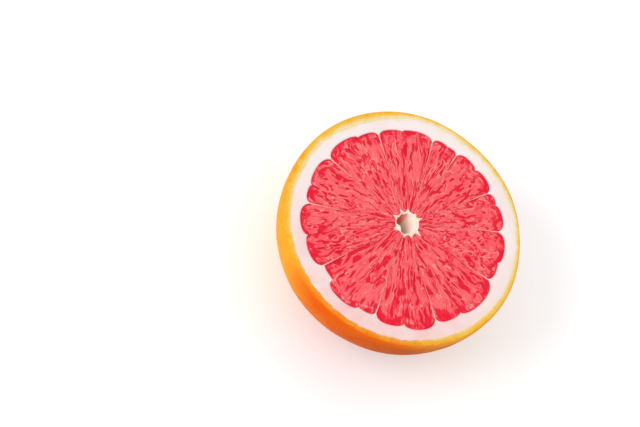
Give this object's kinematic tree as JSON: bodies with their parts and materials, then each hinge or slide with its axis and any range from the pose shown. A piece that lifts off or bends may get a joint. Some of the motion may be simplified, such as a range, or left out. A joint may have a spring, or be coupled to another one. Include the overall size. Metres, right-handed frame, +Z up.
{
  "type": "grapefruit half",
  "caption": "Fresh half of a pink grapefruit, cut across the middle, resting on its dome with the juicy cut face up.",
  "frame": {"origin": "middle of the small flat rest spot at the blossom end, under the middle of the cut face", "axes": "+Z up, square to the cut face and out of it; +X and +Y lie along the cut face"},
  "size_m": [0.1056, 0.1048, 0.0565],
  "materials": {
    "zest": "thin waxy orange-yellow skin with fine oil-gland pores and a soft sheen",
    "pith": "spongy matte white pith with a faint pink and cream tint",
    "pulp": "wet, translucent coral-red juice vesicles fanning out from the core",
    "membrane": "thin moist pale-pink segment walls",
    "core": "soft fibrous cream core with a torn hollow"
  },
  "bodies": {
    "root": {"grapefruit_half": "zest"}
  },
  "joints": []
}
